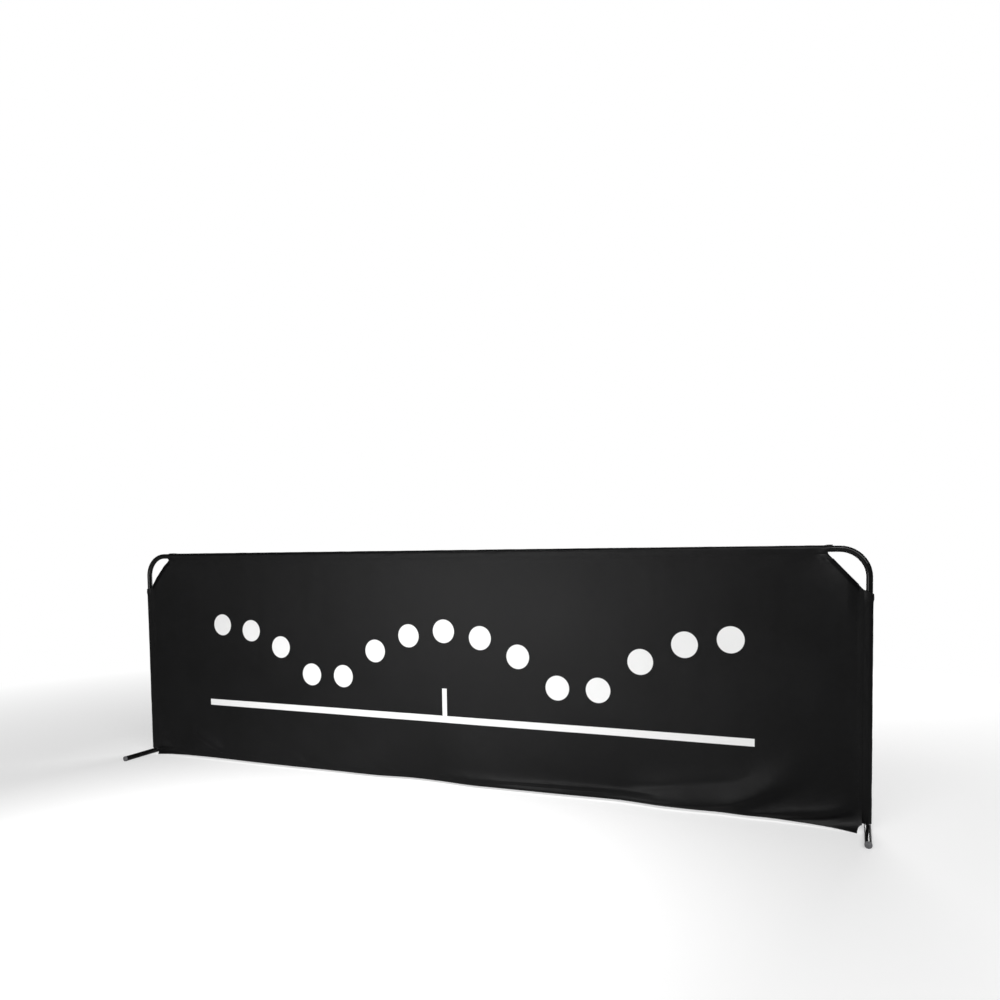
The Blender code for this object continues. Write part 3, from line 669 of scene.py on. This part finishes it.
def row_shares():
    """The heights of the cover's rows, from its top down."""
    shares = [0.0]
    for (low, _), (high, count) in zip(COVER_ROW_SHARES, COVER_ROW_SHARES[1:]):
        shares += [low + (high - low) * (k + 1) / count for k in range(count)]
    return shares[::-1]


def cover_columns():
    """The cover as one sheet: down its front, round the hem's fold and up the hem's back."""
    turns = [(2 * i / COVER_COLUMNS - 1) * COVER_SPREAD for i in range(COVER_COLUMNS + 1)]
    places = {math.sin(turn) / math.sin(COVER_SPREAD) * EDGE_X for turn in turns}
    places |= {side * (EDGE_X - CORNER_CUTS[side][0]) for _, side in SIDES}
    shares = row_shares()
    columns = []
    for flat_x in sorted(places):
        side = RIGHT if flat_x > 0 else LEFT
        cut_back = side * NOTCHES[side] * free_share(flat_x) ** 4
        bottom = hem_bottom_z(flat_x) + HEM_LAYER_GAP / 2
        width, height = CORNER_CUTS[side]
        top = TOP_Z - max(0, abs(flat_x) - EDGE_X + width) * height / width

        def drawn(z, flat_x=flat_x, cut_back=cut_back, bottom=bottom):
            """The free corner is cut back in an arch beside the foot."""
            up = min(1, max(0, (z - bottom) / (SLEEVE_BOTTOM_Z - bottom)))
            return flat_x - cut_back * math.sqrt(1 - up * up)

        column = []
        for share in shares:
            z = bottom + (top - bottom) * share
            place, direction = cover_front(drawn(z), z)
            column.append((place, direction, (flat_x, z)))
        place, direction, _ = column[-1]
        down_way = Vector((0, 0, -1))
        down_way = (down_way - direction * down_way.dot(direction)).normalized()
        centre = place - direction * (HEM_LAYER_GAP / 2)
        for k in range(1, HEM_FOLD_STEPS):
            turn = math.pi * k / HEM_FOLD_STEPS
            out = direction * math.cos(turn) + down_way * math.sin(turn)
            uv = (flat_x, bottom - HEM_FOLD_UV_STEP * k)
            column.append((centre + out * (HEM_LAYER_GAP / 2), out, uv))
        for k in range(HEM_BACK_ROWS + 1):
            up = HEM_HEIGHT * k / HEM_BACK_ROWS
            place, direction = cover_front(drawn(bottom + up), bottom + up)
            uv = (flat_x, bottom - HEM_BACK_UV_START - up)
            column.append((place - direction * HEM_LAYER_GAP, -direction, uv))
        columns.append(column)
    return columns


def rides_on_frame(obj, *nodes):
    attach(obj, BODY)
    if nodes:
        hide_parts(*nodes)
    return obj


def make_cover():
    bm = start_sheet()
    grid_sheet(bm, cover_columns())
    obj = finish_sheet("cover_cloth", bm, CLOTH, PRINTED, PLAIN)
    return rides_on_frame(obj, "cover_panel", "bottom_hem")


SLEEVE_EASE = 0.0007
SLEEVE_RADIUS = TUBE_RADIUS + SLEEVE_EASE
SEAM_BACK = SLEEVE_RADIUS - SLEEVE_EASE
SEAM_TAIL = SEAM_END - 0.0004
BACK_SEAM_START = SEAM_START + 0.0012
FRONT_STEPS = (SEAM_TAIL, 0.0205, 0.0175, 0.0145, SEAM_START, 0.0108, 0.0086, 0.0058, 0.0029)
BACK_STEPS = (0.0152, 0.0175, 0.0205, SEAM_TAIL)
ROUND_STEPS = 30
STRAIGHT_SHARES = (0.2, 0.4, 0.6, 0.8, 0.93)


def sleeve_outline():
    """Across a sleeve: the seam's front layer, round the tube, and the seam's back layer.

    Each point is (towards the seam, towards the front, facing towards the seam, facing the front).
    """
    outline = [(a, SLEEVE_RADIUS, 0, 1) for a in FRONT_STEPS]
    end_a, end_b = BACK_SEAM_START, SEAM_BACK
    first = math.pi / 2
    last = 2 * math.pi + math.atan2(end_b, end_a)
    last -= math.acos(SLEEVE_RADIUS / math.hypot(end_a, end_b))
    for k in range(ROUND_STEPS + 1):
        turn = first + (last - first) * k / ROUND_STEPS
        facing_a, facing_b = math.cos(turn), math.sin(turn)
        outline.append((SLEEVE_RADIUS * facing_a, SLEEVE_RADIUS * facing_b, facing_a, facing_b))
    from_a, from_b, facing_a, facing_b = outline[-1]
    for share in STRAIGHT_SHARES:
        a, b = from_a + (end_a - from_a) * share, from_b + (end_b - from_b) * share
        outline.append((a, b, facing_a, facing_b))
    return outline + [(a, SEAM_BACK, 0, -1) for a in BACK_STEPS]


# How a sleeve's ends run back, and how loosely the sleeve lies
TUCK_REACH = 0.005
SLEEVE_STEP = 0.0065
SLEEVE_LOOSENESS = 0.00035
SLEEVE_WRINKLE = 0.0005
SEAM_WRINKLE_REACH = 0.006
END_HEM_HEIGHT = 0.0008
END_HEM_WIDTH = 0.016
END_HEM_STEP = 0.003
SWELLING_HEIGHT = 0.0011
SWELLING_REACH = 0.009
FRONT_HOLD_START = -0.001
FRONT_HOLD_LENGTH = 0.010
BACK_HOLD_LENGTH = 0.002


def run_back(outwards, tuck, outer, inner):
    """How far a sleeve's end runs back, at a distance outwards from the seam."""
    if outwards < 0:
        return outwards * inner
    return tuck * min(1, outwards / TUCK_REACH) + max(0, outwards - TUCK_REACH) * outer


def make_sleeve(name, node, centre, inwards, along, low, high):
    """A sleeve round a tube, puckered at the seam and at its end hems.

    low and high are its ends: (place at the seam, run-back at the tube's inner edge, slope
    beyond it, slope inside the seam, distance of the swelling where the hem bunches up).
    """
    front = Vector((0, -1, 0))
    steps = round((high[0] - low[0]) / SLEEVE_STEP)
    columns = []
    for i in range(steps + 1):
        share = i / steps
        column = []
        flat = 0
        for a, b, na, nb in sleeve_outline():
            outwards = SEAM_START - a
            start = low[0] + run_back(outwards, *low[1:4])
            end = high[0] - run_back(outwards, *high[1:4])
            place = start + (end - start) * share
            wrinkle = wave(place * 60, b * 50, 7.7) * math.exp(-abs(outwards) / SEAM_WRINKLE_REACH)
            wrinkle += wave(place * 26, a * 120 + b * 60, 6.2)
            loose = SLEEVE_LOOSENESS + SLEEVE_WRINKLE * wrinkle
            for from_end, swelling in ((place - start, low[4]), (end - place, high[4])):
                if swelling:
                    loose += END_HEM_HEIGHT * smooth((END_HEM_WIDTH - from_end) / END_HEM_STEP)
                    loose += SWELLING_HEIGHT * bell(from_end - swelling, SWELLING_REACH)
            # The seam holds the cloth down
            if b > 0:
                loose *= smooth((outwards - FRONT_HOLD_START) / FRONT_HOLD_LENGTH)
            else:
                loose *= 1 - smooth(-outwards / BACK_HOLD_LENGTH)
            facing = inwards * na + front * nb
            point = centre + along * place + inwards * a + front * b + facing * loose
            if column:
                flat += (point - column[-1][0]).length
            column.append((point, facing, (place, flat)))
        columns.append(column)
    bm = start_sheet()
    grid_sheet(bm, columns)
    obj = finish_sheet(name, bm, CLOTH, PLAIN, PLAIN)
    return rides_on_frame(obj, node)


# Each end's run-back, its slope beyond and the place of its swelling: top sleeve, side sleeve
SLEEVE_ENDS = {
    LEFT: ((-0.0060, 0.18, 0.022), (0.0005, 0.10, 0.012)),
    RIGHT: ((0.0020, -0.72, 0.009), (0.0025, 0.50, 0.010)),
}


def make_sleeves():
    up, right = Vector((0, 0, 1)), Vector((1, 0, 0))
    ends = []
    for _, side in SIDES:
        width, height = CORNER_CUTS[side]
        tuck, outer, swelling = SLEEVE_ENDS[side][0]
        ends.append([side * (EDGE_X - width), tuck, outer, width / height, swelling])
    sleeves = [make_sleeve("top_sleeve_cloth", "top_sleeve", up * RAIL_Z, -up, right, *ends)]
    for name, side in SIDES:
        width, height = CORNER_CUTS[side]
        low = (SLEEVE_BOTTOM_Z, 0, 0, 0, 0)
        tuck, outer, swelling = SLEEVE_ENDS[side][1]
        high = (TOP_Z - height, tuck, outer, height / width, swelling)
        centre, inwards = right * (side * LEG_X), right * -side
        cloth, node = f"{name}_sleeve_cloth", f"{name}_sleeve"
        sleeves.append(make_sleeve(cloth, node, centre, inwards, up, low, high))
    return sleeves


BINDING_WIDTH = 0.0105
BINDING_STITCH = 0.0085
BINDING_LIFT = CLOTH + 0.0003
BINDING_CLEARANCE = 0.0004
BINDING_STEPS = 80
BINDING_UV_STEP = 0.003
BINDING_WRINKLE = 0.00022
BINDING_RIPPLE = 0.00016
STITCH_HOLD_REACH = 0.0012

# Across the tape: distance inside the edge, and how far the tape lies and faces to the front
BINDING_FRONT = tuple((d, 1, 1) for d in (BINDING_WIDTH, 0.0088, 0.0078, 0.005, 0.0025, 0.0004))
BINDING_FOLD = ((-0.0006, 0.6, 0.6), (-0.0009, 0, 0), (-0.0006, -0.6, -0.6))
BINDING_BACK = tuple((d, -1, -1) for d, _, _ in reversed(BINDING_FRONT))


def make_binding(name, side):
    """Tape folded over a slanted edge of the cover, from seam to seam."""
    start_z = RAIL_Z - SEAM_END - BINDING_CLEARANCE
    end_x = LEG_X - SEAM_END - BINDING_CLEARANCE
    width, height = CORNER_CUTS[side]
    length = math.hypot(width, height)
    edge = Vector((width, 0, -height))
    inwards = Vector((-height, 0, -width)) / length
    corner = Vector((EDGE_X - width, 0, TOP_Z))
    columns = []
    for i in range(BINDING_STEPS + 1):
        along = i / BINDING_STEPS
        column = []
        for k, (distance, layer, lean) in enumerate(BINDING_FRONT + BINDING_FOLD + BINDING_BACK):
            base = corner + inwards * distance
            first = base + edge * ((start_z - base.z) / edge.z)
            last = base + edge * ((end_x - base.x) / edge.x)
            spot = first.lerp(last, along)
            on_cover, facing = cover_front(side * spot.x, spot.z)
            pucker = BINDING_WRINKLE * wave(i * 0.31, k * 0.8, 9.3)
            pucker += BINDING_RIPPLE * math.sin(i * 1.75)
            pucker *= 1 - 0.8 * bell(distance - BINDING_STITCH, STITCH_HOLD_REACH)
            away = facing * (BINDING_LIFT * layer + pucker * lean)
            point = Vector((side * spot.x, on_cover.y, spot.z)) + away
            over_edge = Vector((-side * inwards.x, 0, -inwards.z))
            out = facing * lean + over_edge * math.sqrt(max(0, 1 - lean * lean))
            column.append((point, out, (along * length, k * BINDING_UV_STEP)))
        columns.append(column)
    bm = start_sheet()
    grid_sheet(bm, columns)
    obj = finish_sheet(f"{name}_binding_tape", bm, CLOTH, TAPE, TAPE)
    return rides_on_frame(obj, f"{name}_corner_binding")


# Stitching

STITCH_PITCH = 0.0034
STITCH_LENGTH = 0.0026
STITCH_WIDTH = 0.00050
STITCH_HEIGHT = 0.00032
STITCH_SIDES = 5

# Along a stitch: (share of its length, share of its thickness, lift as a share of its height)
STITCH_RINGS = ((0.0, 0.45, -0.5), (0.28, 1.0, 0.55), (0.72, 1.0, 0.55), (1.0, 0.45, -0.5))
SEAM_ROWS = (0.0156, 0.0208)
SIDE_ROW_LOW_Z = 0.040
TAIL_ROW_LOW_Z = SLEEVE_BOTTOM_Z + 0.001
HEM_ROW_DOWN = 0.002
HEM_ROW_INSET = 0.003
THREAD_LIFT = CLOTH / 2 + 0.00005
LINE_STEP = 0.008


def add_stitch(bm, start, end, out):
    """One thread loop lying on the cloth, sunk at both of its ends."""
    along = (end - start).normalized()
    across = along.cross(out).normalized()
    rings = []
    for share, size, lift in STITCH_RINGS:
        centre = start.lerp(end, share) + out * (STITCH_HEIGHT * lift)
        half_width, half_height = STITCH_WIDTH / 2 * size, STITCH_HEIGHT / 2 * size
        ring = []
        for k in range(STITCH_SIDES):
            turn = 2 * math.pi * k / STITCH_SIDES
            offset = across * (half_width * math.cos(turn)) + out * (half_height * math.sin(turn))
            ring.append(bm.verts.new(centre + offset))
        rings.append(ring)
    for first, second in zip(rings, rings[1:]):
        for i in range(STITCH_SIDES):
            bm.faces.new((first[i - 1], first[i], second[i], second[i - 1]))
    for ring in (rings[0][::-1], rings[-1]):
        bm.faces.new(ring)


def stitch_path(bm, spots):
    """Stitches along a path of (place, facing) points."""
    walked = [0]
    for (a, _), (b, _) in zip(spots, spots[1:]):
        walked.append(walked[-1] + (b - a).length)

    def at(distance):
        k = max(1, next((i for i, d in enumerate(walked) if d >= distance), len(walked) - 1))
        share = (distance - walked[k - 1]) / max(1e-9, walked[k] - walked[k - 1])
        (place, facing), (next_place, next_facing) = spots[k - 1], spots[k]
        return place.lerp(next_place, share), facing.lerp(next_facing, share).normalized()

    for n in range(int(walked[-1] / STITCH_PITCH)):
        begin = n * STITCH_PITCH + (STITCH_PITCH - STITCH_LENGTH) / 2
        (a, out), (b, _) = at(begin), at(begin + STITCH_LENGTH)
        add_stitch(bm, a, b, out)


def surface_path(points, lift):
    """(place, facing) points on the cover from (x, z) ones. A minus lift is on its back."""
    path = []
    for x, z in points:
        place, facing = cover_front(x, z)
        facing = facing if lift > 0 else -facing
        path.append((place + facing * abs(lift), facing))
    return path


def line(start, end):
    """Points about 8 mm apart, or closer, from one (x, z) point to another."""
    steps = max(8, round(math.dist(start, end) / LINE_STEP))
    return [tuple(a + (b - a) * k / steps for a, b in zip(start, end)) for k in range(steps + 1)]


def back_path(points):
    """(place, facing) points on the back of the sleeves' seams from (x, z) ones."""
    back = Vector((0, 1, 0))
    return [(Vector((x, THREAD_LIFT - SEAM_BACK, z)), back) for x, z in points]


def make_stitching():
    """Rows along the sleeves' seams and the hem, on both sides, and along the bindings."""
    bm = bmesh.new()
    for away in SEAM_ROWS:
        top, out = RAIL_Z - away, LEG_X - away
        ends = []
        for _, side in SIDES:
            width, height = CORNER_CUTS[side]
            ends.append(side * (EDGE_X - width + (away - SEAM_START) * width / height))
            x, reach = side * out, TOP_Z - height + (away - SEAM_START) * height / width
            row = line((x, SIDE_ROW_LOW_Z), (x, reach))
            stitch_path(bm, surface_path(row, THREAD_LIFT))
            stitch_path(bm, back_path([(x, TAIL_ROW_LOW_Z), (x, reach)]))
        row = line((ends[0], top), (ends[1], top))
        stitch_path(bm, surface_path(row, THREAD_LIFT))
        stitch_path(bm, back_path([(x, top) for x in ends]))
    above_bottom = HEM_LAYER_GAP / 2 + HEM_HEIGHT - HEM_ROW_DOWN
    row_end = EDGE_X - HEM_ROW_INSET
    hem_row = [(x, hem_bottom_z(x) + above_bottom) for x, _ in line((-row_end, 0), (row_end, 0))]
    stitch_path(bm, surface_path(hem_row, THREAD_LIFT))
    stitch_path(bm, surface_path(hem_row, -(THREAD_LIFT + HEM_LAYER_GAP)))
    for _, side in SIDES:
        width, height = CORNER_CUTS[side]
        in_x, in_z = (BINDING_STITCH * size / math.hypot(width, height) for size in (height, width))
        start = (side * (EDGE_X - width - in_x), TOP_Z - in_z)
        row = line(start, (side * (EDGE_X - in_x), TOP_Z - height - in_z))
        for away in (THREAD_LIFT + BINDING_LIFT, -(THREAD_LIFT + BINDING_LIFT)):
            stitch_path(bm, surface_path(row[1:-1], away))
    return rides_on_frame(add_mesh("cover_stitching", bm, (THREAD,), 80))


cover = make_cover()
sleeves = make_sleeves()
bindings = [make_binding(name, side) for name, side in SIDES]
stitching = make_stitching()


# Stage

FLOOR_HALF_LENGTH = 14
FLOOR_COLOUR = (0.62, 0.62, 0.62, 1)
FLOOR_GLOW = 0.40
FLOOR_FADE = (1.5, 3.2)
WORLD_LIGHT = 0.10
WHITE = (1, 1, 1, 1)


def make_floor():
    """A white floor that keeps the object's soft shadow and fades into the white behind it."""
    bm = bmesh.new()
    bmesh.ops.create_grid(bm, x_segments=8, y_segments=8, size=FLOOR_HALF_LENGTH)
    floor = add_mesh("studio_floor", bm, ())
    material = bpy.data.materials.new("studio_floor")
    material.use_nodes = True
    tree = material.node_tree
    tree.nodes.clear()
    place = add_node(tree, "ShaderNodeTexCoord").outputs["Object"]
    away = add_node(tree, "ShaderNodeVectorMath", {0: place}, operation="LENGTH").outputs["Value"]
    matt = add_node(tree, "ShaderNodeBsdfDiffuse", {"Color": FLOOR_COLOUR}).outputs[0]
    glow = {"Color": WHITE, "Strength": FLOOR_GLOW}
    near = add_node(tree, "ShaderNodeAddShader")
    tree.links.new(matt, near.inputs[0])
    tree.links.new(add_node(tree, "ShaderNodeEmission", glow).outputs[0], near.inputs[1])
    far = add_node(tree, "ShaderNodeEmission", {"Color": WHITE, "Strength": 1.0}).outputs[0]
    rays = add_node(tree, "ShaderNodeLightPath").outputs
    seen = math_node(tree, "MAXIMUM", rays["Is Camera Ray"], rays["Is Transmission Ray"])
    fade = math_node(tree, "MULTIPLY", map_range(tree, away, *FLOOR_FADE), seen)
    lit = add_node(tree, "ShaderNodeMixShader", {0: seen})
    tree.links.new(matt, lit.inputs[1])
    tree.links.new(near.outputs[0], lit.inputs[2])
    mixed = add_node(tree, "ShaderNodeMixShader", {0: fade})
    tree.links.new(lit.outputs[0], mixed.inputs[1])
    tree.links.new(far, mixed.inputs[2])
    output = add_node(tree, "ShaderNodeOutputMaterial")
    tree.links.new(mixed.outputs[0], output.inputs["Surface"])
    floor.data.materials.append(material)


def make_world():
    """A dim even light, and white where the camera looks past the floor."""
    world = bpy.data.worlds.new("studio")
    bpy.context.scene.world = world
    world.use_nodes = True
    tree = world.node_tree
    tree.nodes.clear()
    rays = add_node(tree, "ShaderNodeLightPath").outputs
    mixed = add_node(tree, "ShaderNodeMixShader", {0: rays["Is Camera Ray"]})
    for k, strength in ((1, WORLD_LIGHT), (2, 1.0)):
        light = {"Color": WHITE, "Strength": strength}
        tree.links.new(add_node(tree, "ShaderNodeBackground", light).outputs[0], mixed.inputs[k])
    output = add_node(tree, "ShaderNodeOutputWorld")
    tree.links.new(mixed.outputs[0], output.inputs["Surface"])


def add_lamp(name, place, target, width, height, power, spread=180):
    data = bpy.data.lights.new(name, "AREA")
    data.shape = "RECTANGLE"
    data.size = width
    data.size_y = height
    data.energy = power
    data.spread = math.radians(spread)
    lamp = bpy.data.objects.new(name, data)
    lamp.location = place
    lamp.rotation_euler = (Vector(target) - Vector(place)).to_track_quat("-Z", "Y").to_euler()
    bpy.context.scene.collection.objects.link(lamp)


# Name, place, target, width, height, power in watts, and the spread where it is narrow
LAMPS = (
    ("left_softbox", (-1.20, -3.0, 0.52), (0.2, 0, 0.40), 1.65, 0.95, 19),
    ("front_softbox", (-0.75, -3.0, 0.45), (0.2, 0, 0.35), 1.3, 0.8, 8),
    ("far_left_softbox", (-3.8, -3.0, 0.8), (-0.9, 0, 0.5), 1.6, 0.9, 4),
    ("floor_softbox", (-0.15, -1.1, 1.7), (-0.15, -0.75, 0), 0.5, 0.5, 8, 75),
    ("high_softbox", (0.4, -2.6, 2.7), (0.1, 0, 0.3), 1.8, 1.2, 32),
    ("high_right_softbox", (2.3, -2.3, 2.4), (0.9, 0, 0.3), 2.2, 1.8, 50),
    ("back_softbox", (0.7, 3.2, 2.3), (0, 0, 0.3), 2.2, 1.4, 64),
    ("back_low_softbox", (0.9, 3.0, 0.6), (0, 0, 0.35), 1.65, 0.95, 26),
)

# The camera: lengths in metres and angles in radians, and the lens in the photograph's pixels
CAMERA_PLACE = (1.1196, -2.1552, 0.7040)
CAMERA_YAW, CAMERA_PITCH, CAMERA_ROLL = 0.3936, -0.0505, -0.0137
LENS_PIXELS = 817.0
LENS_CENTRE = (514.0, 589.5)
PICTURE_PIXELS = 1000


def make_camera():
    """The photograph's view, with the lens's axis a little off the picture's centre."""
    level = Vector((math.cos(CAMERA_YAW), math.sin(CAMERA_YAW), 0))
    ahead = Vector((-level.y, level.x, 0)) * math.cos(CAMERA_PITCH)
    ahead.z = math.sin(CAMERA_PITCH)
    upright = level.cross(ahead)
    right = level * math.cos(CAMERA_ROLL) + upright * math.sin(CAMERA_ROLL)
    up = upright * math.cos(CAMERA_ROLL) - level * math.sin(CAMERA_ROLL)
    data = bpy.data.cameras.new("photo_camera")
    data.sensor_width = 36
    data.lens = LENS_PIXELS * data.sensor_width / PICTURE_PIXELS
    data.shift_x = 0.5 - LENS_CENTRE[0] / PICTURE_PIXELS
    data.shift_y = LENS_CENTRE[1] / PICTURE_PIXELS - 0.5
    camera = bpy.data.objects.new("photo_camera", data)
    bpy.context.scene.collection.objects.link(camera)
    turned = Matrix((right, up, -ahead)).transposed().to_4x4()
    camera.matrix_world = Matrix.Translation(CAMERA_PLACE) @ turned
    bpy.context.scene.camera = camera


make_floor()
make_world()
for lamp in LAMPS:
    add_lamp(*lamp)
make_camera()
bpy.context.scene.view_settings.view_transform = "Standard"

bpy.context.view_layer.update()
